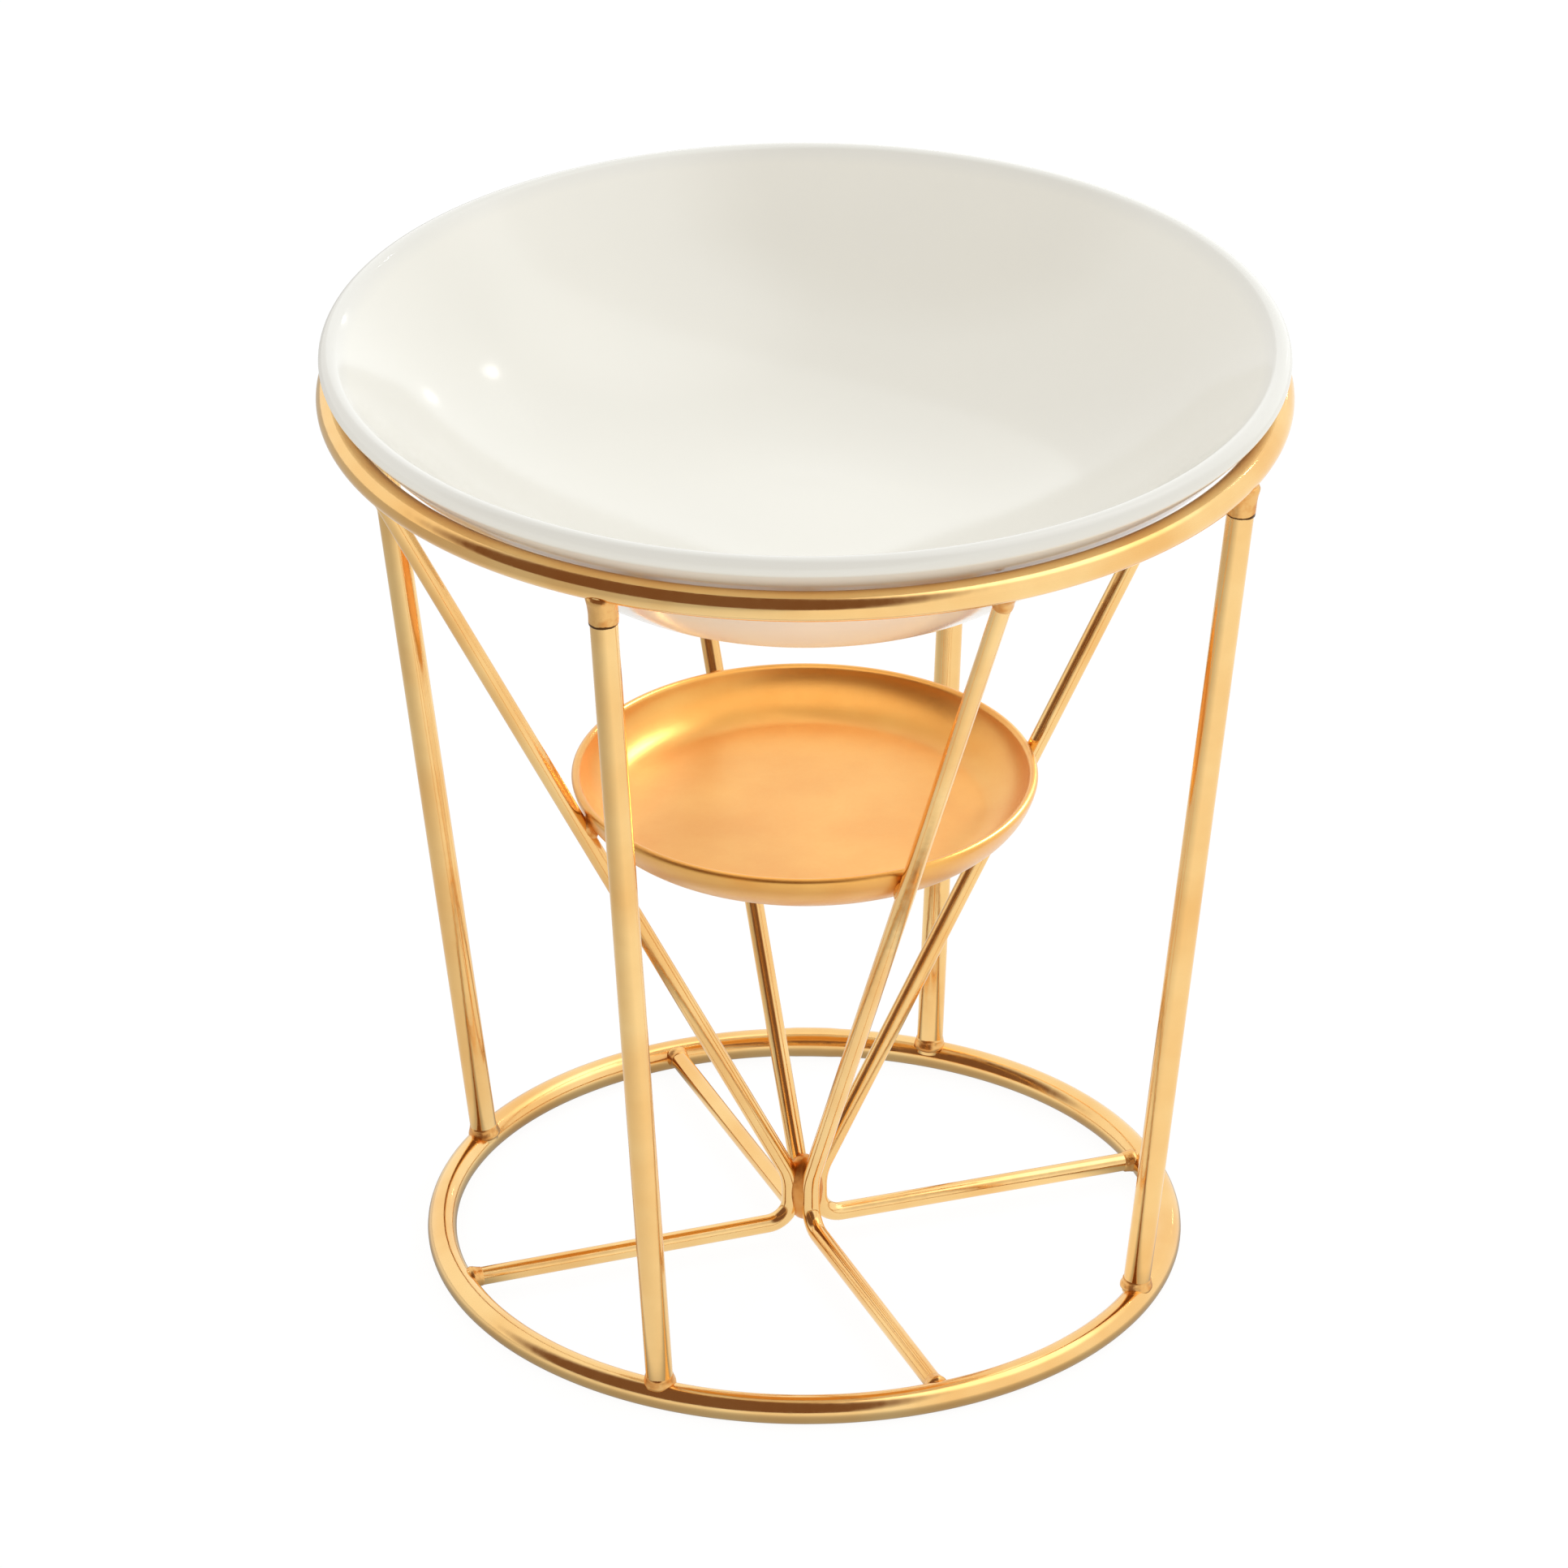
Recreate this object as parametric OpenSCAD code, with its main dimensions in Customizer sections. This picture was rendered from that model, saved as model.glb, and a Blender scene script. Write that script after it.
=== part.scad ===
// Essential oil burner: a glazed dish resting on a welded wire frame, with a plate for a tealight under the dish.
// Millimetres, +Z up. The origin is on the floor, under the middle of the base ring.

/* [Frame] */
// Height of the frame, from the floor to the top of the top ring
frame_h = 125.4; // [100:0.2:155]
// Diameter of the top ring, along the middle of its wire
top_ring_d = 120; // [96:0.5:146]
// Diameter of the base ring, along the middle of its wire
base_ring_d = 95.5; // [78:0.5:116]
// Wire of the two rings
ring_wire = 3.8; // [3:0.1:4.6]
// Depth of the flat ground under the base ring
base_flat = 0.1; // [0.05:0.01:0.3]

/* [Uprights] */
// Wire of the four uprights
upright_wire = 3.5; // [2.8:0.1:4.4]
// How far inside the middle of the base ring the uprights stand
upright_foot_inset = 0.6; // [0:0.1:1.4]
// Direction of the front upright's top, in degrees from +X
upright_front_angle = -114.5; // [-130:0.5:-100]
// Direction of the right upright's top
upright_right_angle = -24; // [-40:1:-10]
// Direction of the back upright's top
upright_back_angle = 69; // [56:1:86]
// Direction of the left upright's top
upright_left_angle = 161; // [144:1:174]
// How far round the frame each upright's foot stands from its top: front, right, back and left
upright_foot_turns = [1.5, 0, 0, -6.5]; // [-10:0.5:10]

/* [Stays] */
// Wire of the four bent stays
stay_wire = 2.4; // [1.8:0.1:3]
// How far inside the middle of the top ring the stays end
stay_top_inset = 0.7; // [0:0.1:1.2]
// Height at which the stays turn upright and run down side by side
hub_h = 9; // [8:0.5:16]
// Height of the spokes, along the middle of their wire
spoke_h = 2.3; // [1.6:0.1:3]
// Bend radius between a stay and its spoke, along the middle of the wire
spoke_bend = 3.2; // [2:0.1:5]
// Bend radius between a stay's slope and its upright stretch
hub_bend = 8; // [5:0.5:10]
// Direction of the front stay, in degrees from +X
stay_front_angle = -65; // [-70:0.5:-61]
// Direction of the right stay
stay_right_angle = 17; // [13:0.5:21]
// Direction of the back stay
stay_back_angle = 112; // [108:0.5:116]
// Direction of the left stay
stay_left_angle = 200; // [196:0.5:204]
// How far round the frame each stay's spoke points from its slope: front, right, back and left
spoke_turns = [-3.5, 2, 0, 0]; // [-10:0.5:10]

/* [Candle plate] */
// Diameter of the plate over its wall
plate_d = 60.4; // [50:0.2:74]
// Diameter of the flat middle that a tealight stands on
plate_flat_d = 45; // [38:0.5:48]
// Height of the plate, from its underside to its rim
plate_h = 6.5; // [5:0.1:8]
// Sheet of the plate
plate_sheet = 1.2; // [0.8:0.1:1.6]

/* [Dish] */
// How far the lip of the dish reaches past the middle of the top ring
lip_reach = 1.5; // [0.8:0.1:2.4]
// Height of the dish, from its foot to the top of its lip
dish_h = 28.1; // [23:0.1:35]
// Diameter of the flat foot of the dish
dish_foot_d = 54; // [44:0.5:66]
// Radius between the foot and the wall of the dish
dish_foot_round = 11; // [8:0.5:14]
// Width of the ring that is left round the foot
dish_foot_ring = 3.2; // [2:0.1:5]
// Depth of the recess inside that ring
dish_foot_recess = 0.8; // [0.4:0.1:1.2]
// Radius of the curve of the outer wall
wall_curve = 150; // [120:5:240]
// Thickness of the wall at its rounded lip
lip_thick = 2.8; // [2.2:0.1:3.6]
// Thickness of the dish at its middle
dish_floor = 4; // [3:0.1:5]
// Diameter of the flat floor inside the dish
bowl_floor_d = 20; // [10:0.5:30]
// Radius between that floor and the wall inside the dish
bowl_round = 60; // [50:0.5:66]

/* [Welds and clearances] */
// How far a weld bead stands out from its wire
bead_size = 0.6; // [0.4:0.1:0.9]
// Length of a weld bead along its wire
bead_length = 2.6; // [2:0.1:3.2]
// Room left between pieces that are welded together
weld_gap = 0.04; // [0.02:0.01:0.08]
// Room left between the dish and the ring it rests on
seat_gap = 0.3; // [0.2:0.05:0.4]

/* [Hidden] */
$fn = 96;

gold = [0.93, 0.72, 0.40];
satin_gold = [0.91, 0.66, 0.33];
weld_gold = [0.85, 0.58, 0.27];
glaze_white = [0.95, 0.94, 0.91];

top_r = top_ring_d / 2;
base_r = base_ring_d / 2;
ring_r = ring_wire / 2;
upright_r = upright_wire / 2;
stay_r = stay_wire / 2;
top_z = frame_h - ring_r;
base_z = ring_r - base_flat;

upright_angles = [upright_front_angle, upright_right_angle, upright_back_angle, upright_left_angle];
stay_angles = [stay_front_angle, stay_right_angle, stay_back_angle, stay_left_angle];

// Ends of each upright's middle line
upright_feet = [for (i = [0:3]) at(base_r - upright_foot_inset, upright_angles[i] + upright_foot_turns[i], base_z)];
upright_tops = [for (angle = upright_angles) at(top_r, angle, top_z)];

// The stays stand side by side round the axis: the closest two directions set how near the axis they come
stay_steps = [for (i = [0:3]) ((stay_angles[(i + 1) % 4] - stay_angles[i]) % 360 + 360) % 360];
hub_r = (stay_r + weld_gap) / sin(min(stay_steps) / 2);
hub_fill_r = hub_r - stay_r / 2;
hub_knee = [hub_r, hub_h];
stay_top = [top_r - stay_top_inset, top_z];
stay_lean = atan2(stay_top[0] - hub_knee[0], stay_top[1] - hub_knee[1]);
// Length that the bend at the knee takes from each of the two straight stretches
knee_cut = hub_bend * tan(stay_lean / 2);
slope_start = hub_knee + knee_cut * [sin(stay_lean), cos(stay_lean)];
// The slope and the spoke stop short of the middle of the ring that they meet
slope_length = norm(stay_top - slope_start) - ring_r / 2;
bundle_top = hub_h - knee_cut;
bundle_foot = spoke_h + spoke_bend;
spoke_start = hub_r + spoke_bend;
spoke_length = base_r - ring_r / 2 - spoke_start;
// A bend is a hair thinner than the wire and runs a little into the stretches that it joins
bend_thin = 0.01;
bend_lap = 0.2;

// The plate's wall curves up from the flat and rests inside the stays, where it is as steep as they are
plate_r = plate_d / 2;
plate_flat_r = plate_flat_d / 2;
plate_turn = 2 * atan2(plate_h, plate_r - plate_flat_r);
plate_curve = (plate_r - plate_flat_r) / sin(plate_turn);
touch_turn = min(plate_turn, 90 - stay_lean);
touch_r = plate_flat_r + plate_curve * sin(touch_turn);
stay_side = (stay_r + weld_gap) / cos(stay_lean);
touch_z = hub_h + (touch_r + stay_side - hub_r) / tan(stay_lean);
plate_z = touch_z - plate_curve * (1 - cos(touch_turn));

// The dish in its own frame, with its foot at height 0
lip_r = lip_thick / 2;
lip_mid = [top_r + lip_reach - lip_r, dish_h - lip_r];
foot_mid = [dish_foot_d / 2, dish_foot_round];
foot_to_lip = lip_mid - foot_mid;
// The outer wall is an arc that runs smoothly into the round of the foot and the round of the lip
lip_span = norm(foot_to_lip);
wall_far = wall_curve - lip_r;
wall_near = wall_curve - dish_foot_round;
wall_along = (wall_near ^ 2 - wall_far ^ 2 + lip_span ^ 2) / (2 * lip_span);
wall_aside = sqrt(wall_near ^ 2 - wall_along ^ 2);
wall_mid = foot_mid + (wall_along * foot_to_lip + wall_aside * [-foot_to_lip[1], foot_to_lip[0]]) / lip_span;
// Directions from the middle of that arc to where it starts at the foot and ends at the lip
foot_turn = atan2(foot_mid[1] - wall_mid[1], foot_mid[0] - wall_mid[0]);
lip_turn = atan2(lip_mid[1] - wall_mid[1], lip_mid[0] - wall_mid[0]);
// Inside, the wall is straight between the round of the lip and the round of the floor
bowl_mid = [bowl_floor_d / 2, dish_floor + bowl_round];
bowl_to_lip = lip_mid - bowl_mid;
bowl_slope = atan2(bowl_to_lip[1], bowl_to_lip[0]) + asin((bowl_round + lip_r) / norm(bowl_to_lip));
// The wall lies on the top ring, clear of it by the seat gap along the wall's normal
seat_reach = wall_curve + ring_r + seat_gap;
dish_z = top_z + sqrt(seat_reach ^ 2 - (top_r - wall_mid[0]) ^ 2) - wall_mid[1];

arc_steps = 24;

// A point at a distance from the axis, in a direction round it
function at(r, angle, z) = [r * cos(angle), r * sin(angle), z];

// Points of an arc round a centre, from one angle to another
function arc(mid, r, a, b) = [for (i = [0:arc_steps]) mid + r * [cos(a + (b - a) * i / arc_steps),
                                                                 sin(a + (b - a) * i / arc_steps)]];

// Moves what is drawn along +Z at the origin to a point in the XZ plane, leaning away from the axis
module lean_at(point, lean) {
  translate([point[0], 0, point[1]]) rotate([0, lean, 0]) children();
}

// Moves what is drawn along +Z at the origin to the line from one point to another
module along(from, to) {
  run = to - from;
  translate(from) rotate([0, acos(run[2] / norm(run)), atan2(run[1], run[0])]) children();
}

// A closed ring of wire
module wire_ring(r, z, wire_r) {
  translate([0, 0, z]) rotate_extrude() translate([r, 0]) circle(wire_r);
}

// The cuts that fit another wire or bead to a ring
module top_ring_cut() {
  wire_ring(top_r, top_z, ring_r + weld_gap);
}

module base_ring_cut() {
  wire_ring(base_r, base_z, ring_r + weld_gap);
}

// A bead of weld round the end of a wire, from the wire's end along +Z
module bead(wire_r) {
  rotate_extrude() translate([wire_r + weld_gap, 0]) polygon(concat(
    [[0, 0]],
    [for (i = [0:8]) [bead_size * cos(90 * i / 8), bead_length * sin(90 * i / 8)]]));
}

// One upright, by its place in the lists
module upright(i) {
  color(gold) difference() {
    along(upright_feet[i], upright_tops[i]) cylinder(h = norm(upright_tops[i] - upright_feet[i]), r = upright_r);
    top_ring_cut();
    base_ring_cut();
  }
}

// A bend of the stays' wire round a middle in the XZ plane, from one angle through a turn
module wire_bend(mid, radius, from, turn) {
  lap = bend_lap / radius * 180 / PI;
  translate([mid[0], 0, mid[1]]) rotate([90, 0, 0]) rotate([0, 0, from - lap])
    rotate_extrude(angle = turn + 2 * lap) translate([radius, 0]) circle(stay_r - bend_thin);
}

// Turns a spoke round its stay's upright stretch
module spoke_way(turn) {
  translate([hub_r, 0, 0]) rotate([0, 0, turn]) translate([-hub_r, 0, 0]) children();
}

// One stay, in the XZ plane: slope, knee, upright stretch, bend and spoke
module stay_body(spoke_turn) {
  lean_at(slope_start, stay_lean) cylinder(h = slope_length, r = stay_r);
  wire_bend([hub_r + hub_bend, bundle_top], hub_bend, 180 - stay_lean, stay_lean);
  translate([hub_r, 0, bundle_foot]) cylinder(h = bundle_top - bundle_foot, r = stay_r);
  spoke_way(spoke_turn) {
    wire_bend([spoke_start, bundle_foot], spoke_bend, 180, 90);
    lean_at([spoke_start, spoke_h], 90) cylinder(h = spoke_length, r = stay_r);
  }
}

// One stay in its place, by its place in the lists
module stay(i) {
  color(gold) rotate([0, 0, stay_angles[i]]) difference() {
    stay_body(spoke_turns[i]);
    top_ring_cut();
    base_ring_cut();
  }
}

module top_ring() {
  color(gold) wire_ring(top_r, top_z, ring_r);
}

module base_ring() {
  color(gold) intersection() {
    wire_ring(base_r, base_z, ring_r);
    cylinder(h = ring_wire, r = base_r + ring_wire);
  }
}

// Pressed from sheet: a flat middle and a curved wall up to a plain rim
module candle_plate() {
  curve_mid = [plate_flat_r, plate_curve];
  outside = arc(curve_mid, plate_curve, -90, plate_turn - 90);
  inside = arc(curve_mid, plate_curve - plate_sheet, plate_turn - 90, -90);
  color(satin_gold) translate([0, 0, plate_z])
    rotate_extrude() polygon(concat([[0, 0]], outside, inside, [[0, plate_sheet]]));
}

module oil_dish() {
  ring_in = dish_foot_d / 2 - dish_foot_ring;
  recess = [[0, dish_foot_recess], [ring_in - dish_foot_recess, dish_foot_recess], [ring_in, 0]];
  foot = arc(foot_mid, dish_foot_round, -90, foot_turn);
  wall = arc(wall_mid, wall_curve, foot_turn, lip_turn);
  lip = arc(lip_mid, lip_r, lip_turn, bowl_slope + 90);
  bowl = arc(bowl_mid, bowl_round, bowl_slope - 90, -90);
  color(glaze_white) translate([0, 0, dish_z])
    rotate_extrude() polygon(concat(recess, foot, wall, lip, bowl, [[0, dish_floor]]));
}

// The beads start at the ring's near side and taper along the wire
module upright_top_welds() {
  color(weld_gold) for (i = [0:3]) difference() {
    along(upright_tops[i], upright_feet[i]) translate([0, 0, ring_r]) bead(upright_r);
    top_ring_cut();
  }
}

module upright_foot_welds() {
  color(weld_gold) for (i = [0:3]) difference() {
    along(upright_feet[i], upright_tops[i]) translate([0, 0, ring_r]) bead(upright_r);
    base_ring_cut();
  }
}

module stay_top_welds() {
  color(weld_gold) for (angle = stay_angles) rotate([0, 0, angle]) difference() {
    lean_at(stay_top - ring_r * [sin(stay_lean), cos(stay_lean)], stay_lean + 180) bead(stay_r);
    top_ring_cut();
  }
}

module spoke_welds() {
  color(weld_gold) for (i = [0:3]) rotate([0, 0, stay_angles[i]]) difference() {
    spoke_way(spoke_turns[i]) lean_at([base_r - ring_r, spoke_h], -90) bead(stay_r);
    base_ring_cut();
  }
}

// Braze that fills the space between the four upright stretches
module hub_weld() {
  color(weld_gold) difference() {
    translate([0, 0, bundle_foot]) cylinder(h = bundle_top - bundle_foot, r = hub_fill_r);
    for (angle = stay_angles) rotate([0, 0, angle])
      translate([hub_r, 0, 0]) cylinder(h = hub_h, r = stay_r + weld_gap);
  }
}

// A bead round each stay where the plate's wall meets it
module plate_welds() {
  touch_point = [touch_r + stay_side, touch_z];
  color(weld_gold) for (angle = stay_angles) rotate([0, 0, angle]) difference() {
    lean_at(touch_point, stay_lean + 180) bead(stay_r);
    cylinder(h = frame_h, r = plate_r + weld_gap);
  }
}

oil_dish();
top_ring();
base_ring();
upright(0);  // upright_front
upright(1);  // upright_right
upright(2);  // upright_back
upright(3);  // upright_left
stay(0);  // stay_front
stay(1);  // stay_right
stay(2);  // stay_back
stay(3);  // stay_left
candle_plate();
upright_top_welds();
upright_foot_welds();
stay_top_welds();
spoke_welds();
hub_weld();
plate_welds();
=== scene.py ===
"""Looks of an essential oil burner: a glazed dish on a gold wire frame over a candle plate."""
import math

import bmesh
import bpy
from bpy.props import FloatProperty, FloatVectorProperty, IntProperty, PointerProperty
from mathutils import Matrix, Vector


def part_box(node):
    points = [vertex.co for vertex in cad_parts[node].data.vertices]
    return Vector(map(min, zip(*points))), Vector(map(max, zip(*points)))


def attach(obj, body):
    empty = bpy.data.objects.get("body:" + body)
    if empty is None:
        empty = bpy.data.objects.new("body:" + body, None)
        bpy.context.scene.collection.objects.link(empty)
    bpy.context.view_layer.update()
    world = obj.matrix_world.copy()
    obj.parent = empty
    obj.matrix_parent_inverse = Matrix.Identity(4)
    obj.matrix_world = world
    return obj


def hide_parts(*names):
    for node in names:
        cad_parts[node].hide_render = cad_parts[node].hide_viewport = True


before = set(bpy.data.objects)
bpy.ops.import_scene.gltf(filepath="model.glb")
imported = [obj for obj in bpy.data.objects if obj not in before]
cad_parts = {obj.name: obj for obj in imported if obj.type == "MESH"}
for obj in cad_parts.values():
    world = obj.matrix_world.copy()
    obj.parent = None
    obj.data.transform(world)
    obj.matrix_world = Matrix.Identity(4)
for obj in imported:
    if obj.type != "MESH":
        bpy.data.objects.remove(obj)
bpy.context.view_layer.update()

bl_info = {
    "name": "Oil Burner",
    "version": (1, 0, 0),
    "blender": (4, 5, 0),
    "location": "View3D > Sidebar > Oil Burner",
    "description": "Models and finishes an oil burner round its packed frame",
    "category": "Object",
}

MM = 0.001

# Directions of the wires round the axis in degrees from +X, and the middle lines of the wires,
# as the frame has them
SIDES = ("front", "right", "back", "left")
UPRIGHT_TOPS = (-114.5, -24, 69, 161)
UPRIGHT_FEET = (-113, -24, 69, 154.5)
STAY_ANGLES = (-65, 17, 112, 200)
SPOKE_TURNS = (-3.5, 2, 0, 0)
TOP_RING = (60 * MM, 123.5 * MM)
BASE_RING = (47.75 * MM, 1.8 * MM)
RING_R = 1.9 * MM
UPRIGHT_R = 1.75 * MM
UPRIGHT_FOOT_R = 47.15 * MM
STAY_R = 1.2 * MM
STAY_TOP = (59.3 * MM, 123.5 * MM)
HUB_R = 1.89 * MM
HUB_H = 9 * MM
HUB_BEND = 8 * MM
SPOKE_H = 2.3 * MM
SPOKE_BEND = 3.2 * MM
STAY_LEAN = math.atan2(STAY_TOP[0] - HUB_R, STAY_TOP[1] - HUB_H)

# Degrees round the axis at which the ends of each ring's wire meet
TOP_SEAM = 96
BASE_SEAM = 88

# Rounding of the edges under the dish's foot
FOOT_EDGE = 0.4 * MM

# Degrees by which the plate's wall stops short, and by which its rim is less than a half circle
# at each end
RIM_SPARE = 4
RIM_CORNER = 12

# Weld beads: the swell of a neck, the length and swell of a fillet, the radius and length of a drop
NECK_SWELL = 0.3 * MM
FOOT_FILLET = (1.3 * MM, 0.35 * MM)
SPOKE_FILLET = (1.4 * MM, 0.3 * MM)
PLATE_DROP = (1.25 * MM, 1.9 * MM)
HUB_DROP = (2.5 * MM, 4.8 * MM)
HUB_DROP_H = 7 * MM

# Edges flatter than this are shaded smooth
SMOOTH_BELOW = math.radians(50)
RING_SMOOTH_BELOW = math.radians(30)

# The lamps face a point in the dish, and most of them hang this far from it
LAMP_AIM = Vector((0, 0, 0.12))
LAMP_REACH = 1.2

# Parts of the room that the wires mirror: the azimuth and elevation of the middle of each,
# and the degrees from there at which it starts and is full
DARK_WAY, DARK_EDGES = (-123, 32), (63, 47)
PATCH_WAY, PATCH_EDGES = (10, 62), (32, 12)

# How much of the table is glow where it is seen or mirrored, and how bright it is to the camera
TABLE_GLOW = 0.9
TABLE_LEVEL = 1.04


def linear(text):
    """An sRGB hex colour as linear RGB."""
    parts = [int(text[i:i + 2], 16) / 255 for i in (1, 3, 5)]
    return tuple(c / 12.92 if c <= 0.04045 else ((c + 0.055) / 1.055) ** 2.4 for c in parts)


class BurnerSizes(bpy.types.PropertyGroup):
    """Sizes of the pieces that are modelled here."""
    segments: IntProperty(
        name="Segments", description="Steps round the dish and the plate", default=192, min=48)
    wire_sides: IntProperty(name="Wire sides", description="Steps round a wire", default=32, min=12)
    plate_radius: FloatProperty(
        name="Plate radius", description="Over the wall of the candle plate", default=30.2 * MM,
        unit="LENGTH")
    plate_flat: FloatProperty(
        name="Plate flat", description="Radius of the flat middle of the plate", default=22.5 * MM,
        unit="LENGTH")
    plate_height: FloatProperty(
        name="Plate height", description="From the underside of the plate to its rim",
        default=6.5 * MM, unit="LENGTH")
    plate_sheet: FloatProperty(name="Plate sheet", description="Thickness of the plate",
                               default=1.2 * MM, unit="LENGTH")
    dish_radius: FloatProperty(name="Dish radius", description="Over the lip of the dish",
                               default=61.5 * MM, unit="LENGTH")
    dish_height: FloatProperty(
        name="Dish height", description="From the foot of the dish to the top of its lip",
        default=28.1 * MM, unit="LENGTH")
    foot_radius: FloatProperty(name="Foot radius", description="Of the foot of the dish",
                               default=27 * MM, unit="LENGTH")
    foot_round: FloatProperty(name="Foot round", description="Radius between the foot and the wall",
                              default=11 * MM, unit="LENGTH")
    foot_ring: FloatProperty(name="Foot ring", description="Width of the ring left round the foot",
                             default=3.2 * MM, unit="LENGTH")
    foot_recess: FloatProperty(
        name="Foot recess", description="Depth of the hollow inside the foot ring",
        default=0.8 * MM, unit="LENGTH")
    wall_curve: FloatProperty(
        name="Wall curve", description="Radius of the dish's outer wall", default=150 * MM,
        unit="LENGTH")
    lip_radius: FloatProperty(
        name="Lip radius", description="Rounding of the lip", default=1.4 * MM, unit="LENGTH")
    floor_thick: FloatProperty(
        name="Floor of the dish", description="Thickness of the dish at its middle", default=4 * MM,
        unit="LENGTH")
    bowl_floor: FloatProperty(
        name="Bowl floor", description="Radius of the flat floor inside the dish", default=10 * MM,
        unit="LENGTH")
    bowl_round: FloatProperty(
        name="Bowl round", description="Radius between that floor and the wall inside the dish",
        default=60 * MM, unit="LENGTH")
    neck: FloatProperty(
        name="Neck", description="Length of the braze under the top ring", default=3.4 * MM,
        unit="LENGTH")
    bead_rough: FloatProperty(
        name="Bead unevenness", description="How far a weld bead wanders from a smooth collar",
        default=0.22 * MM, unit="LENGTH")


class BurnerFinishes(bpy.types.PropertyGroup):
    """Colours of the finishes."""
    glaze: FloatVectorProperty(name="Glaze", description="Milk-white glaze", subtype="COLOR",
                               default=linear("#F5F2EA"))
    glaze_thin: FloatVectorProperty(
        name="Thin glaze", description="Glaze drawn thin over the lip", subtype="COLOR",
        default=linear("#EDEBE6"))
    bisque: FloatVectorProperty(
        name="Bisque", description="Bare clay under the foot", subtype="COLOR",
        default=linear("#DCD2C2"))
    gold: FloatVectorProperty(name="Gold", description="Polished gold plating", subtype="COLOR",
                              default=linear("#FAD391"))
    gold_deep: FloatVectorProperty(
        name="Deep gold", description="Thicker, redder plating", subtype="COLOR",
        default=linear("#F2BE76"))
    satin: FloatVectorProperty(
        name="Satin gold", description="Blasted and plated sheet", subtype="COLOR",
        default=linear("#F8BC5C"))
    satin_deep: FloatVectorProperty(
        name="Deep satin gold", description="Redder patches of the sheet", subtype="COLOR",
        default=linear("#F2AE4C"))
    heat: FloatVectorProperty(
        name="Heat tint", description="Browned plating at the welds", subtype="COLOR",
        default=linear("#D88C40"))
    # Painted shade: a dark line that stands in for the shade in the groove where a braze ends
    painted_groove_shade: FloatVectorProperty(
        name="Painted groove shade", description="Dark line where a braze ends", subtype="COLOR",
        default=linear("#5A3A1C"))
    floor: FloatVectorProperty(
        name="Floor", description="Pale table top", subtype="COLOR", default=linear("#FAFAFA"))


class BurnerStage(bpy.types.PropertyGroup):
    """Camera and light."""
    lens: FloatProperty(name="Lens", description="Focal length", default=242, unit="CAMERA")
    camera_back: FloatProperty(name="Camera distance", description="In front of the burner's axis",
                               default=1.2, unit="LENGTH")
    camera_up: FloatProperty(
        name="Camera height", description="Above the table", default=0.7075, unit="LENGTH")
    camera_pitch: FloatProperty(name="Camera pitch", description="Downwards", subtype="ANGLE",
                                default=math.radians(28.09))
    camera_turn: FloatProperty(name="Camera turn", description="To the left", subtype="ANGLE",
                               default=math.radians(0.128))
    key_watts: FloatProperty(
        name="Key light", description="Power of the small light behind", default=2.2, unit="POWER")
    fill_watts: FloatProperty(
        name="Fill light", description="Power of the wide light on the right", default=0.7,
        unit="POWER")
    daylight: FloatVectorProperty(
        name="Daylight", description="Colour of the key, the fill and the window, a little cool",
        subtype="COLOR", default=(0.9, 0.97, 1.0))
    room: FloatProperty(
        name="Room", description="Strength of the room as it is mirrored", default=1.05)
    window_watts: FloatProperty(
        name="Window", description="Power of the window as the glaze mirrors it", default=6.8,
        unit="POWER")
    soft_room: FloatVectorProperty(
        name="Room light", description="The light from all round, a little warm", subtype="COLOR",
        default=(0.85, 0.842, 0.808))
    glow_watts: FloatProperty(
        name="Plate glow", description="Power of the glow over the plate", default=0.004,
        unit="POWER")
    glare_watts: FloatProperty(
        name="Plate glare", description="Power of the lamp mirrored on the plate's left wall",
        default=9.0, unit="POWER")
    dark_side: FloatVectorProperty(
        name="Dark side", description="The brown side of the room, as the wire mirrors it",
        subtype="COLOR", default=linear("#7A5A46"))


def round_way(azimuth, elevation):
    """A direction by its degrees round the axis from +X and above the table."""
    turn, rise = math.radians(azimuth), math.radians(elevation)
    flat = math.cos(rise)
    return Vector((math.cos(turn) * flat, math.sin(turn) * flat, math.sin(rise)))


def on_spoke(radius, height, angle):
    """A point at a distance from the axis, in a direction round it."""
    way = math.radians(angle)
    return Vector((radius * math.cos(way), radius * math.sin(way), height))


def settle(name):
    """Names the active object, moves its place into its mesh and returns it."""
    piece = bpy.context.object
    piece.name = piece.data.name = name
    bpy.ops.object.transform_apply(location=True, rotation=True, scale=True)
    return piece


def fresh_start():
    """Leaves edit mode and deselects everything."""
    if bpy.context.object and bpy.context.object.mode != "OBJECT":
        bpy.ops.object.mode_set(mode="OBJECT")
    bpy.ops.object.select_all(action="DESELECT")


def select_where(piece, test):
    """Selects the vertices of the piece in edit mode whose place passes the test."""
    mesh = bmesh.from_edit_mesh(piece.data)
    for face in mesh.faces:
        face.select = False
    for edge in mesh.edges:
        edge.select = False
    for vert in mesh.verts:
        vert.select = test(vert.co)
    mesh.select_flush(True)
    bmesh.update_edit_mesh(piece.data)


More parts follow.
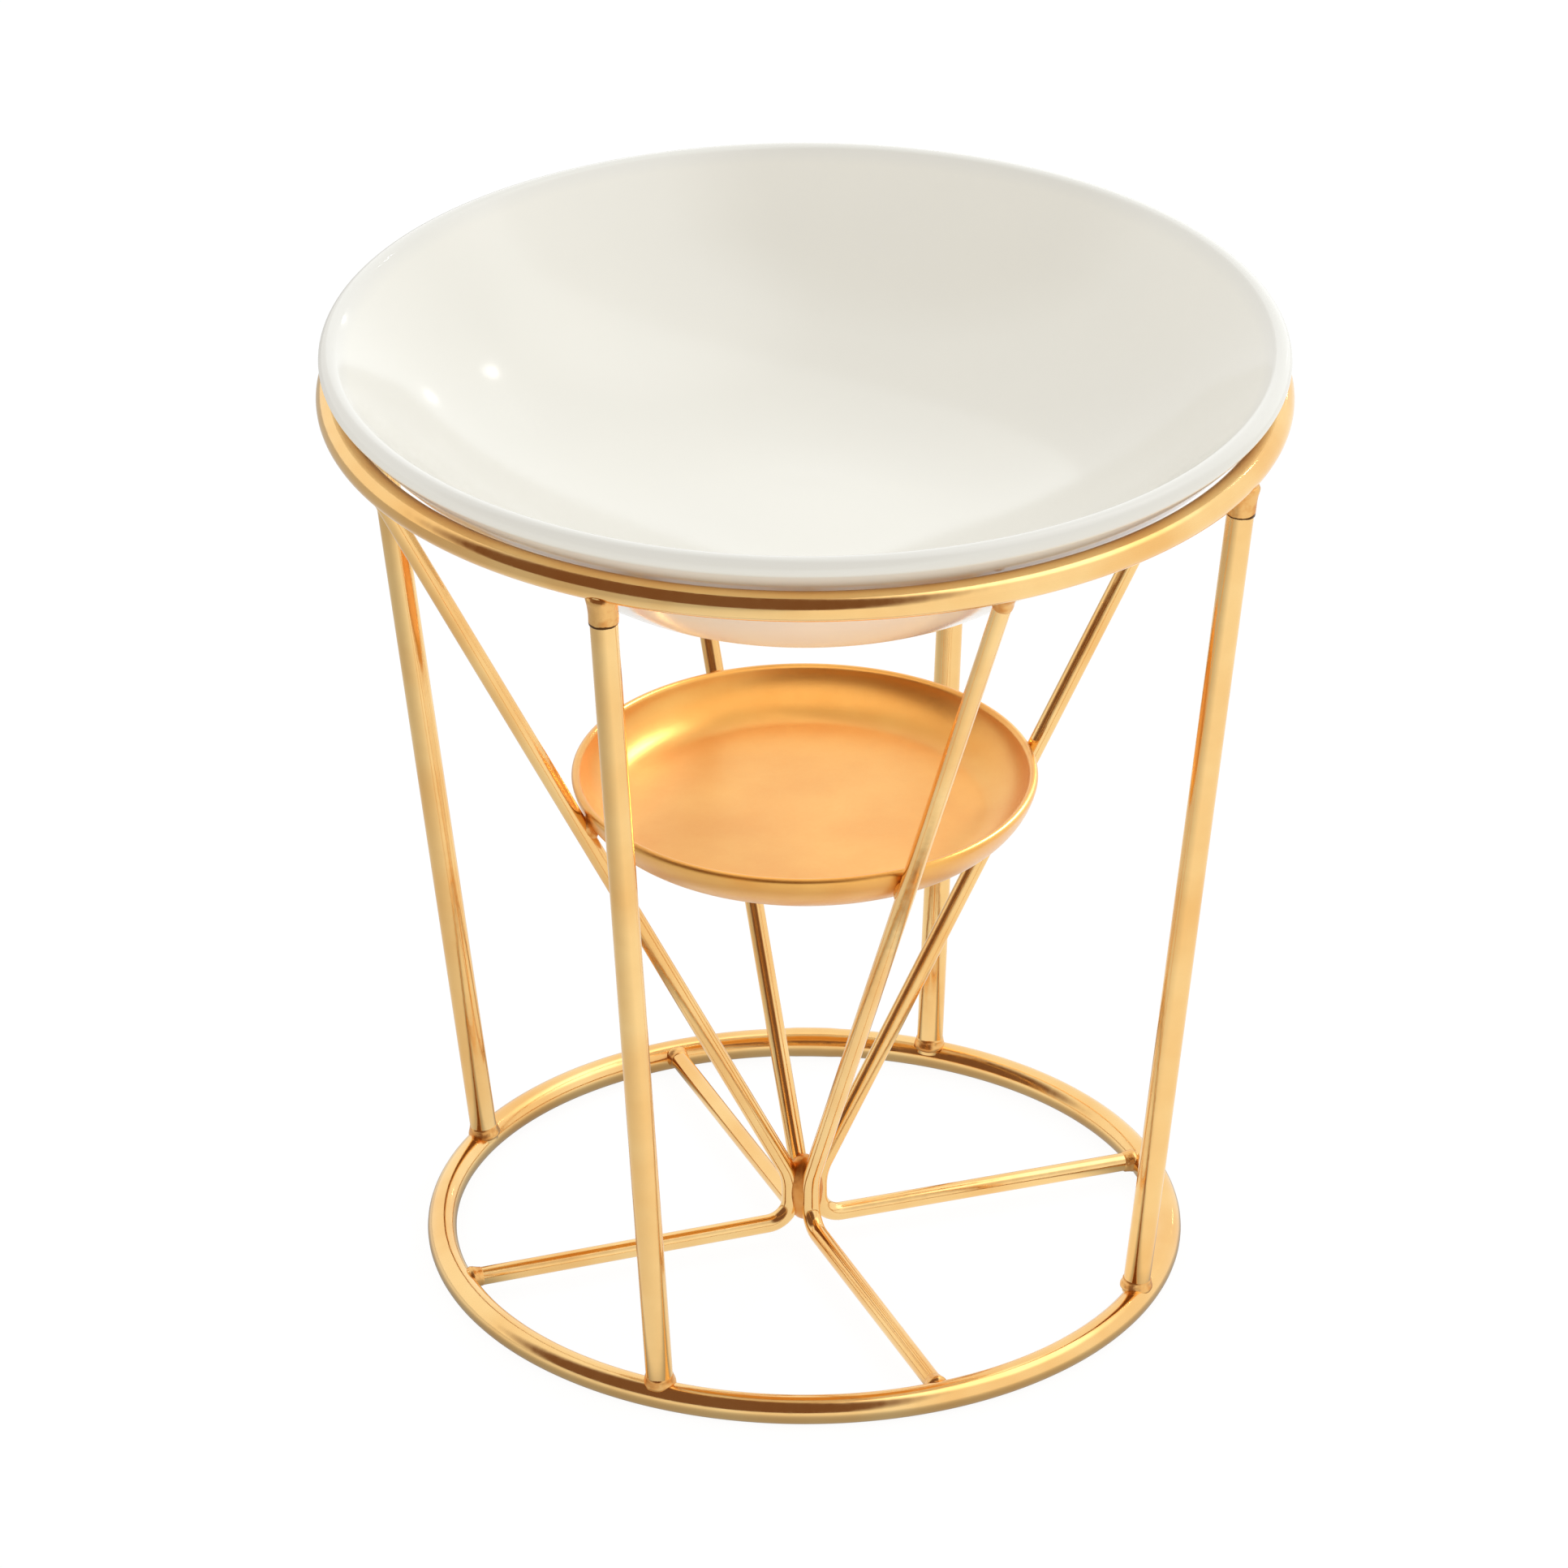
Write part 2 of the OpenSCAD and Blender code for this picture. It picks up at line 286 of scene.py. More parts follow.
def turned(name, profile, segments):
    """A closed turned shape: a circle drawn out through a profile's (radius, height) points."""
    fresh_start()
    radius, height = profile[0]
    bpy.ops.mesh.primitive_circle_add(vertices=segments, radius=radius, fill_type="NOTHING",
                                      location=(0, 0, height))
    piece = settle(name)
    bpy.ops.object.mode_set(mode="EDIT")
    bpy.ops.mesh.select_mode(type="VERT")
    bpy.ops.mesh.select_all(action="SELECT")
    for next_radius, next_height in profile[1:]:
        rise = (0, 0, next_height - height)
        bpy.ops.mesh.extrude_edges_move(TRANSFORM_OT_translate={"value": rise})
        grow = next_radius / radius
        bpy.ops.transform.resize(value=(grow, grow, 1), center_override=(0, 0, next_height))
        radius, height = next_radius, next_height
    bpy.ops.mesh.merge(type="CENTER")
    first_radius, first_height = profile[0]
    select_where(piece, lambda co: (abs(co.z - first_height) < 1e-6
                                    and co.xy.length < first_radius * 1.01))
    bpy.ops.mesh.merge(type="CENTER")
    bpy.ops.mesh.select_all(action="SELECT")
    bpy.ops.mesh.normals_make_consistent(inside=False)
    bpy.ops.object.mode_set(mode="OBJECT")
    return piece


def arc(middle, radius, start, stop, steps):
    """Points of an arc in a profile, from one angle to another in degrees."""
    angles = [math.radians(start + (stop - start) * i / steps) for i in range(steps + 1)]
    return [(middle[0] + radius * math.cos(a), middle[1] + radius * math.sin(a)) for a in angles]


def add_node(tree, kind, inputs=None, **settings):
    """Adds one node, sets its properties, and fills its sockets with values or links."""
    made = tree.nodes.new(kind)
    for name, value in settings.items():
        setattr(made, name, value)
    for name, value in (inputs or {}).items():
        if isinstance(value, bpy.types.NodeSocket):
            tree.links.new(value, made.inputs[name])
        else:
            made.inputs[name].default_value = value
    return made


def blank_material(name):
    """A material with an empty tree, its Principled shader and its object coordinates."""
    material = bpy.data.materials.new(name)
    material.use_nodes = True
    tree = material.node_tree
    tree.nodes.clear()
    shader = add_node(tree, "ShaderNodeBsdfPrincipled")
    add_node(tree, "ShaderNodeOutputMaterial", {"Surface": shader.outputs["BSDF"]})
    place = add_node(tree, "ShaderNodeTexCoord").outputs["Object"]
    return material, tree, shader, place


def rgba(colour):
    """The colour with full opacity."""
    return (*colour, 1.0)


def porcelain_glaze(finish, foot_z, lip_z):
    """Porcelain under a milk-white glaze: a wet gloss, thin over the lip and bare at the foot."""
    material, tree, shader, place = blank_material("porcelain_milk_glaze")
    height = add_node(tree, "ShaderNodeSeparateXYZ", {"Vector": place}).outputs["Z"]
    # The glaze is drawn thin over the top 2.4 mm of the lip
    lip = add_node(tree, "ShaderNodeMapRange", {
        "Value": height, "From Min": lip_z - 2.4 * MM, "From Max": lip_z},
        interpolation_type="SMOOTHSTEP").outputs["Result"]
    # The foot is wiped clean of glaze for about its lowest 0.5 mm
    bare = add_node(tree, "ShaderNodeMapRange", {"Value": height, "From Min": foot_z + 0.7 * MM,
                                                 "From Max": foot_z + 0.4 * MM}).outputs["Result"]
    # Faint clouding of the glaze, about 14 mm across
    cloud = add_node(tree, "ShaderNodeTexNoise", {
        "Vector": place, "Scale": 1 / (14 * MM), "Detail": 3.0}).outputs["Fac"]
    thin = add_node(tree, "ShaderNodeMath", {0: cloud, 1: 0.35},
                    operation="MULTIPLY").outputs["Value"]
    thin = add_node(tree, "ShaderNodeMath", {0: thin, 1: lip}, operation="MAXIMUM").outputs["Value"]
    white = add_node(tree, "ShaderNodeMix", {
        "Factor": thin, "A": rgba(finish.glaze), "B": rgba(finish.glaze_thin)},
        data_type="RGBA").outputs["Result"]
    colour = add_node(tree, "ShaderNodeMix", {"Factor": bare, "A": white, "B": rgba(finish.bisque)},
                      data_type="RGBA")
    tree.links.new(colour.outputs["Result"], shader.inputs["Base Color"])
    gloss = add_node(tree, "ShaderNodeMapRange", {
        "Value": bare, "To Min": 0.12, "To Max": 0.85}).outputs["Result"]
    tree.links.new(gloss, shader.inputs["Roughness"])
    # Slow ripple of the fired glaze, about 9 mm from crest to crest
    ripple = add_node(tree, "ShaderNodeTexNoise", {
        "Vector": place, "Scale": 1 / (9 * MM), "Detail": 1.0}).outputs["Fac"]
    bump = add_node(tree, "ShaderNodeBump", {
        "Strength": 0.25, "Distance": 0.1 * MM, "Height": ripple})
    tree.links.new(bump.outputs["Normal"], shader.inputs["Normal"])
    shader.inputs["IOR"].default_value = 1.5
    return material


def polished_gold(finish):
    """Gold-plated steel wire, buffed bright: mirror-like, a little wavy, with redder patches."""
    material, tree, shader, place = blank_material("polished_gold_plate")
    patch = add_node(tree, "ShaderNodeTexNoise", {
        "Vector": place, "Scale": 1 / (16 * MM), "Detail": 3.0}).outputs["Fac"]
    share = add_node(tree, "ShaderNodeMapRange", {
        "Value": patch, "From Min": 0.35, "From Max": 0.7}).outputs["Result"]
    colour = add_node(tree, "ShaderNodeMix", {
        "Factor": share, "A": rgba(finish.gold), "B": rgba(finish.gold_deep)},
        data_type="RGBA").outputs["Result"]
    tree.links.new(colour, shader.inputs["Base Color"])
    # Buffing haze in streaks about 1.5 mm across
    haze = add_node(tree, "ShaderNodeTexNoise", {
        "Vector": place, "Scale": 1 / (1.5 * MM), "Detail": 4.0}).outputs["Fac"]
    rough = add_node(tree, "ShaderNodeMapRange", {"Value": haze, "From Min": 0.3, "From Max": 0.7,
                                                  "To Min": 0.1, "To Max": 0.19}).outputs["Result"]
    tree.links.new(rough, shader.inputs["Roughness"])
    # Drawn wire is never quite round: dents about 4 mm long
    wave = add_node(tree, "ShaderNodeTexNoise", {
        "Vector": place, "Scale": 1 / (4 * MM), "Detail": 2.0}).outputs["Fac"]
    bump = add_node(tree, "ShaderNodeBump", {
        "Strength": 0.3, "Distance": 0.12 * MM, "Height": wave})
    tree.links.new(bump.outputs["Normal"], shader.inputs["Normal"])
    shader.inputs["Metallic"].default_value = 1.0
    return material


def satin_gold(finish):
    """Pressed sheet, blasted and plated: a satin sheen with turning lines and redder patches."""
    material, tree, shader, place = blank_material("satin_gold_plate")
    patch = add_node(tree, "ShaderNodeTexNoise", {
        "Vector": place, "Scale": 1 / (11 * MM), "Detail": 4.0}).outputs["Fac"]
    share = add_node(tree, "ShaderNodeMapRange", {
        "Value": patch, "From Min": 0.35, "From Max": 0.68}).outputs["Result"]
    colour = add_node(tree, "ShaderNodeMix", {
        "Factor": share, "A": rgba(finish.satin), "B": rgba(finish.satin_deep)},
        data_type="RGBA").outputs["Result"]
    tree.links.new(colour, shader.inputs["Base Color"])
    # Blast grit is about 0.1 mm: drawn at 0.45 mm, so that it shows
    grit = add_node(tree, "ShaderNodeTexNoise", {
        "Vector": place, "Scale": 1 / (0.45 * MM), "Detail": 2.0}).outputs["Fac"]
    rough = add_node(tree, "ShaderNodeMapRange", {"Value": grit, "From Min": 0.3, "From Max": 0.7,
                                                  "To Min": 0.34, "To Max": 0.42}).outputs["Result"]
    tree.links.new(rough, shader.inputs["Roughness"])
    # Turning lines round the middle, one about every 0.7 mm
    flat = add_node(tree, "ShaderNodeVectorMath", {0: place, 1: (1, 1, 0)},
                    operation="MULTIPLY").outputs["Vector"]
    reach = add_node(tree, "ShaderNodeVectorMath", {0: flat}, operation="LENGTH").outputs["Value"]
    lines = add_node(tree, "ShaderNodeTexNoise", {
        "W": reach, "Scale": 1 / (0.7 * MM), "Detail": 1.0}, noise_dimensions="1D").outputs["Fac"]
    both = add_node(tree, "ShaderNodeMath", {0: grit, 1: lines}, operation="ADD").outputs["Value"]
    bump = add_node(tree, "ShaderNodeBump", {
        "Strength": 0.12, "Distance": 0.05 * MM, "Height": both})
    tree.links.new(bump.outputs["Normal"], shader.inputs["Normal"])
    shader.inputs["Metallic"].default_value = 1.0
    # Clear lacquer over the plating, which whitens the sheen
    shader.inputs["Coat Weight"].default_value = 1.0
    shader.inputs["Coat Roughness"].default_value = 0.36
    return material


def weld_gold(finish, line_z):
    """Brazed beads plated over: wrinkled and browned in patches, duller than the wire."""
    material, tree, shader, place = blank_material("plated_weld")
    patch = add_node(tree, "ShaderNodeTexNoise", {
        "Vector": place, "Scale": 1 / (2.2 * MM), "Detail": 3.0}).outputs["Fac"]
    share = add_node(tree, "ShaderNodeMapRange", {
        "Value": patch, "From Min": 0.45, "From Max": 0.7}).outputs["Result"]
    colour = add_node(tree, "ShaderNodeMix", {
        "Factor": share, "A": rgba(finish.gold_deep), "B": rgba(finish.heat)},
        data_type="RGBA").outputs["Result"]
    # A dark line is painted where the braze under the top ring ends, as painted shade of the groove
    # there, and the hub is all browned
    height = add_node(tree, "ShaderNodeSeparateXYZ", {"Vector": place}).outputs["Z"]
    wander = add_node(tree, "ShaderNodeMath", {0: patch, 1: 0.8 * MM, 2: line_z - 0.4 * MM},
                      operation="MULTIPLY_ADD")
    painted_groove_shade = add_node(tree, "ShaderNodeMath", {0: height, 1: wander.outputs["Value"], 2: 0.3 * MM},
                     operation="COMPARE")
    flat = add_node(tree, "ShaderNodeVectorMath", {0: place, 1: (1, 1, 0)},
                    operation="MULTIPLY").outputs["Vector"]
    reach = add_node(tree, "ShaderNodeVectorMath", {0: flat}, operation="LENGTH").outputs["Value"]
    hub = add_node(tree, "ShaderNodeMapRange", {
        "Value": reach, "From Min": 5 * MM, "From Max": 3 * MM, "To Max": 0.7}).outputs["Result"]
    colour = add_node(tree, "ShaderNodeMix", {"Factor": hub, "A": colour, "B": rgba(finish.heat)},
                      data_type="RGBA").outputs["Result"]
    # Painted shade: the dark groove line is mixed over the weld colour here
    colour = add_node(tree, "ShaderNodeMix", {
        "Factor": painted_groove_shade.outputs["Value"], "A": colour, "B": rgba(finish.painted_groove_shade)},
        data_type="RGBA").outputs["Result"]
    tree.links.new(colour, shader.inputs["Base Color"])
    rough = add_node(tree, "ShaderNodeMapRange", {
        "Value": patch, "To Min": 0.2, "To Max": 0.42}).outputs["Result"]
    tree.links.new(rough, shader.inputs["Roughness"])
    # Wrinkles of the cooled bead, about 0.6 mm apart
    wrinkle = add_node(tree, "ShaderNodeTexNoise", {
        "Vector": place, "Scale": 1 / (0.6 * MM), "Detail": 2.0}).outputs["Fac"]
    bump = add_node(tree, "ShaderNodeBump", {
        "Strength": 0.4, "Distance": 0.08 * MM, "Height": wrinkle})
    tree.links.new(bump.outputs["Normal"], shader.inputs["Normal"])
    shader.inputs["Metallic"].default_value = 1.0
    return material


def material_once(name, make, *arguments):
    """The material of that name, made the first time it is asked for."""
    return bpy.data.materials.get(name) or make(*arguments)


def add_lamp(name, reach, size, watts, colour=(1, 1, 1)):
    """A round lamp at a reach from the dish, facing it."""
    fresh_start()
    bpy.ops.object.light_add(type="AREA", location=LAMP_AIM + reach,
                             rotation=reach.to_track_quat("Z", "Y").to_euler())
    lamp = bpy.context.object
    lamp.name = name
    lamp.data.shape = "DISK"
    lamp.data.size = size
    lamp.data.energy = watts
    lamp.data.color = colour
    return lamp


def lay_table(finish):
    """A white table top, which isn't there from below."""
    bpy.ops.mesh.primitive_plane_add(size=12, location=(0, 0, 0))
    table = settle("table_top")
    material = bpy.data.materials.new("table_white")
    material.use_nodes = True
    tree = material.node_tree
    tree.nodes.clear()
    ray = add_node(tree, "ShaderNodeLightPath")
    seen = add_node(tree, "ShaderNodeMath", {
        0: ray.outputs["Is Camera Ray"], 1: ray.outputs["Is Glossy Ray"]},
        operation="MAXIMUM").outputs["Value"]
    seen = add_node(tree, "ShaderNodeMath", {0: seen, 1: ray.outputs["Is Transmission Ray"]},
                    operation="MAXIMUM").outputs["Value"]
    seen = add_node(tree, "ShaderNodeMath", {0: seen, 1: TABLE_GLOW},
                    operation="MULTIPLY").outputs["Value"]
    # In the wire the table is a little greyer towards the left, where less light falls on it
    spot = add_node(tree, "ShaderNodeTexCoord").outputs["Object"]
    across = add_node(tree, "ShaderNodeSeparateXYZ", {"Vector": spot})
    grey = add_node(tree, "ShaderNodeMapRange", {
        "Value": across.outputs["X"], "From Min": -0.17, "From Max": 0.03, "To Min": 0.55,
        "To Max": 1.06}).outputs["Result"]
    # and dark close round the base ring, where the ring itself keeps the light off
    flat = add_node(tree, "ShaderNodeVectorMath", {0: spot, 1: (1, 1, 0)},
                    operation="MULTIPLY").outputs["Vector"]
    reach = add_node(tree, "ShaderNodeVectorMath", {0: flat}, operation="LENGTH").outputs["Value"]
    apart = add_node(tree, "ShaderNodeMath", {0: reach, 1: BASE_RING[0]},
                     operation="SUBTRACT").outputs["Value"]
    apart = add_node(tree, "ShaderNodeMath", {0: apart}, operation="ABSOLUTE").outputs["Value"]
    near = add_node(tree, "ShaderNodeMapRange", {
        "Value": apart, "From Min": 2 * MM, "From Max": 10 * MM, "To Min": 0.42, "To Max": 1.0},
        interpolation_type="SMOOTHSTEP").outputs["Result"]
    grey = add_node(tree, "ShaderNodeMath", {0: grey, 1: near},
                    operation="MULTIPLY").outputs["Value"]
    grey = add_node(tree, "ShaderNodeMix", {
        "Factor": ray.outputs["Is Camera Ray"], "A": grey, "B": TABLE_LEVEL},
        data_type="FLOAT").outputs["Result"]
    paper = add_node(tree, "ShaderNodeBsdfDiffuse", {"Color": rgba(finish.floor)}).outputs["BSDF"]
    glow = add_node(tree, "ShaderNodeEmission", {
        "Color": (1, 1, 1, 1), "Strength": grey}).outputs["Emission"]
    top = add_node(tree, "ShaderNodeMixShader", {0: seen, 1: paper, 2: glow}).outputs["Shader"]
    # From below the table isn't there, so that the underside can be looked at
    below = add_node(tree, "ShaderNodeNewGeometry").outputs["Backfacing"]
    clear = add_node(tree, "ShaderNodeBsdfTransparent").outputs["BSDF"]
    either = add_node(tree, "ShaderNodeMixShader", {0: below, 1: top, 2: clear}).outputs["Shader"]
    add_node(tree, "ShaderNodeOutputMaterial", {"Surface": either})
    table.data.materials.append(material)


def hang_lamps(stage):
    """The lamps, some of which only the dish or the plate mirrors."""
    # Two lights, low enough that the lip shades the dish's far wall:
    # a small key behind and a wide fill on the right
    key = add_lamp("key_light", round_way(58, 30) * LAMP_REACH, size=0.2,
                   watts=stage.key_watts, colour=stage.daylight)
    fill = add_lamp("fill_light", round_way(15, 42) * LAMP_REACH, size=0.3,
                    watts=stage.fill_watts, colour=stage.daylight)
    key.visible_glossy = fill.visible_glossy = False
    # Small lamps leave the specks of light on the glaze of the left wall
    for number, (azimuth, elevation, watts) in enumerate(((48.7, 32.3, 0.06), (60.9, 13.4, 0.024))):
        add_lamp("speck_light_%d" % number, round_way(azimuth, elevation) * LAMP_REACH,
                 size=0.018, watts=watts)
    # A wide window behind on the right, which only the glaze mirrors:
    # it brightens the near half of the dish
    window = add_lamp("window_light", round_way(64, 30) * LAMP_REACH, size=2.16,
                      watts=stage.window_watts, colour=stage.daylight)
    window.visible_diffuse = window.visible_camera = False
    window.light_linking.receiver_collection = bpy.data.collections.new("mirrors_window")
    # Only the plate mirrors two more: a glow under the foot of the dish on its far wall,
    # and a glare on its left wall
    plate_only = bpy.data.collections.new("mirrors_plate_lights")
    glow = add_lamp("plate_glow", Vector((0, 0, -0.0195)), size=0.054, watts=stage.glow_watts)
    glow.rotation_euler = (0, 0, 0)
    glare = add_lamp("plate_glare", round_way(46, 38) * LAMP_REACH, size=0.1,
                     watts=stage.glare_watts)
    for lamp in (glow, glare):
        lamp.visible_diffuse = lamp.visible_camera = False
        lamp.light_linking.receiver_collection = plate_only


def paint_room(scene, stage):
    """A white room that is dark on one side as the wires mirror it."""
    world = bpy.data.worlds.new("white_room")
    scene.world = world
    world.use_nodes = True
    tree = world.node_tree
    tree.nodes.clear()
    ray = add_node(tree, "ShaderNodeLightPath").outputs
    # The room is dark on the near left, which gives the polished wire its dark bands
    way = add_node(tree, "ShaderNodeTexCoord").outputs["Generated"]
    near = add_node(tree, "ShaderNodeVectorMath", {0: way, 1: round_way(*DARK_WAY)},
                    operation="DOT_PRODUCT")
    starts, full = (math.cos(math.radians(edge)) for edge in DARK_EDGES)
    shade = add_node(tree, "ShaderNodeMapRange", {
        "Value": near.outputs["Value"], "From Min": starts, "From Max": full}).outputs["Result"]
    bright = (stage.room, stage.room, stage.room, 1.0)
    room = add_node(tree, "ShaderNodeMix", {
        "Factor": shade, "A": bright, "B": rgba(stage.dark_side)},
        data_type="RGBA").outputs["Result"]
    # A bright patch high on the right, on the tops of the wires
    high = add_node(tree, "ShaderNodeVectorMath", {0: way, 1: round_way(*PATCH_WAY)},
                    operation="DOT_PRODUCT")
    starts, full = (math.cos(math.radians(edge)) for edge in PATCH_EDGES)
    patch = add_node(tree, "ShaderNodeMapRange", {
        "Value": high.outputs["Value"], "From Min": starts, "From Max": full, "To Max": 0.9},
        interpolation_type="SMOOTHSTEP").outputs["Result"]
    room = add_node(tree, "ShaderNodeMix", {"Factor": 1.0, "A": room, "B": patch}, data_type="RGBA",
                    blend_type="ADD").outputs["Result"]
    # Only what is mirrored straight to the eye sees the room so: the light that falls is even
    dull = add_node(tree, "ShaderNodeMath", {0: ray["Diffuse Depth"], 1: 1.0},
                    operation="LESS_THAN").outputs["Value"]
    sharp = add_node(tree, "ShaderNodeMath", {0: ray["Is Glossy Ray"], 1: dull},
                     operation="MULTIPLY").outputs["Value"]
    soft = rgba(Vector(stage.soft_room))
    room = add_node(tree, "ShaderNodeMix", {"Factor": sharp, "A": soft, "B": room},
                    data_type="RGBA").outputs["Result"]
    room = add_node(tree, "ShaderNodeMix", {
        "Factor": ray["Is Camera Ray"], "A": room, "B": (1, 1, 1, 1)},
        data_type="RGBA").outputs["Result"]
    light = add_node(tree, "ShaderNodeBackground", {
        "Color": room, "Strength": 1.0}).outputs["Background"]
    add_node(tree, "ShaderNodeOutputWorld", {"Surface": light})


class BURNER_OT_set_stage(bpy.types.Operator):
    """Makes the table, the lights and the camera."""
    bl_idname = "burner.set_stage"
    bl_label = "Set the stage"

    def execute(self, context):
        stage, finish = context.scene.burner_stage, context.scene.burner_finishes
        fresh_start()
        bpy.ops.object.camera_add(location=(0, -stage.camera_back, stage.camera_up),
                                  rotation=(math.pi / 2 - stage.camera_pitch, 0, stage.camera_turn))
        camera = context.object
        camera.name = "photo_camera"
        camera.data.lens = stage.lens
        camera.data.sensor_width = 36
        camera.data.clip_end = 50
        context.scene.camera = camera
        lay_table(finish)
        hang_lamps(stage)
        paint_room(context.scene, stage)
        context.scene.view_settings.view_transform = "Standard"
        return {"FINISHED"}


def wire_start(name, place, way, radius, sides):
    """Starts a wire as a selected circle at a place, facing along it, in edit mode."""
    fresh_start()
    facing = Vector(way).to_track_quat("Z", "Y").to_euler()
    bpy.ops.mesh.primitive_circle_add(vertices=sides, radius=radius, fill_type="NGON",
                                      location=place, rotation=facing)
    piece = settle(name)
    bpy.ops.object.mode_set(mode="EDIT")
    bpy.ops.mesh.select_mode(type="FACE")
    bpy.ops.mesh.select_all(action="SELECT")
    return piece


def wire_run(way, steps):
    """Draws the wire on in a straight line."""
    for _ in range(steps):
        bpy.ops.mesh.extrude_region_move(TRANSFORM_OT_translate={"value": Vector(way) / steps})


def wire_turn(middle, axis, angle, steps):
    """Bends the wire on round an axis by the right-hand rule, against the sign of spin."""
    bpy.ops.mesh.spin(steps=steps, angle=-angle, center=middle, axis=axis)


def wire_end(piece, body, node, material):
    """Closes a wire, smooths it and fits it into the frame."""
    bpy.ops.mesh.select_all(action="SELECT")
    bpy.ops.mesh.remove_doubles(threshold=0.001 * MM)
    bpy.ops.mesh.normals_make_consistent(inside=False)
    bpy.ops.object.mode_set(mode="OBJECT")
    bpy.ops.object.shade_smooth_by_angle(angle=SMOOTH_BELOW)
    fit(piece, body, node, material)


def fit(piece, body, node, material):
    """Gives a piece its finish and puts it in the place of a node."""
    piece.data.materials.append(material)
    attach(piece, body)
    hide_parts(node)


class BURNER_OT_bend_rings(bpy.types.Operator):
    """Bends the top ring and the base ring."""
    bl_idname = "burner.bend_rings"
    bl_label = "Bend the rings"

    def execute(self, context):
        gold = material_once("polished_gold_plate", polished_gold, context.scene.burner_finishes)
        sides = context.scene.burner_sizes.wire_sides
        rings = (("top_ring_wire", "top_ring", TOP_RING, TOP_SEAM),
                 ("base_ring_wire", "base_ring", BASE_RING, BASE_SEAM))
        for name, node, (radius, height), seam in rings:
            fresh_start()
            bpy.ops.mesh.primitive_torus_add(
                major_radius=radius, minor_radius=RING_R, major_segments=320,
                minor_segments=sides, location=(0, 0, height))
            piece = settle(name)
            bpy.ops.object.mode_set(mode="EDIT")
            bpy.ops.mesh.select_mode(type="VERT")
            # The ends of the ring's wire meet in a butt weld, ground almost flush
            middle = on_spoke(radius, height, seam)
            for reach, swell in ((3.0 * MM, 0.03 * MM), (1.6 * MM, 0.05 * MM)):
                select_where(piece, lambda co: (co - middle).length < RING_R + reach)
                bpy.ops.transform.shrink_fatten(value=swell)
            # The burner stands on a narrow flat under the base ring
            select_where(piece, lambda co: co.z < 0)
            bpy.ops.transform.resize(value=(1, 1, 0), center_override=(0, 0, 0))
            bpy.ops.mesh.select_all(action="SELECT")
            bpy.ops.mesh.normals_make_consistent(inside=False)
            bpy.ops.object.mode_set(mode="OBJECT")
            bpy.ops.object.shade_smooth_by_angle(angle=RING_SMOOTH_BELOW)
            fit(piece, "frame", node, gold)
        return {"FINISHED"}


class BURNER_OT_set_uprights(bpy.types.Operator):
    """Sets the four uprights between the rings."""
    bl_idname = "burner.set_uprights"
    bl_label = "Set the uprights"

    def execute(self, context):
        gold = material_once("polished_gold_plate", polished_gold, context.scene.burner_finishes)
        sides = context.scene.burner_sizes.wire_sides
        for side, top, foot in zip(SIDES, UPRIGHT_TOPS, UPRIGHT_FEET):
            low, high = on_spoke(UPRIGHT_FOOT_R, BASE_RING[1], foot), on_spoke(*TOP_RING, top)
            run = high - low
            # Each end stops inside the wire of its ring
            spare = run.normalized() * RING_R * 0.4
            piece = wire_start("upright_%s_wire" % side, low + spare, run, UPRIGHT_R, sides)
            wire_run(run - 2 * spare, steps=24)
            wire_end(piece, "frame", "upright_" + side, gold)
        return {"FINISHED"}


class BURNER_OT_bend_stays(bpy.types.Operator):
    """Bends the four stays: slope, knee, upright stretch, bend and spoke."""
    bl_idname = "burner.bend_stays"
    bl_label = "Bend the stays"

    def execute(self, context):
        gold = material_once("polished_gold_plate", polished_gold, context.scene.burner_finishes)
        cut = HUB_BEND * math.tan(STAY_LEAN / 2)
        knee_high = HUB_H - cut
        bend_high = SPOKE_H + SPOKE_BEND
        spoke_run = BASE_RING[0] - RING_R / 2 - HUB_R - SPOKE_BEND
        up = Vector((0, 0, 1))
        sides = context.scene.burner_sizes.wire_sides
        for side, angle, turn in zip(SIDES, STAY_ANGLES, SPOKE_TURNS):
            out = round_way(angle, 0)
            spoke = round_way(angle + turn, 0)
            slope = out * math.sin(STAY_LEAN) + up * math.cos(STAY_LEAN)
            start = out * HUB_R + up * HUB_H + slope * cut
            top = out * STAY_TOP[0] + up * STAY_TOP[1] - slope * RING_R / 2
            piece = wire_start("stay_%s_wire" % side, top, -slope, STAY_R, sides)
            wire_run(start - top, steps=24)
            knee = out * (HUB_R + HUB_BEND) + up * knee_high
            wire_turn(knee, out.cross(up), STAY_LEAN, steps=8)
            wire_run(up * (bend_high - knee_high), steps=2)
            bend = out * HUB_R + spoke * SPOKE_BEND + up * bend_high
            wire_turn(bend, spoke.cross(up), math.pi / 2, steps=12)
            wire_run(spoke * spoke_run, steps=12)
            wire_end(piece, "frame", "stay_" + side, gold)
        return {"FINISHED"}


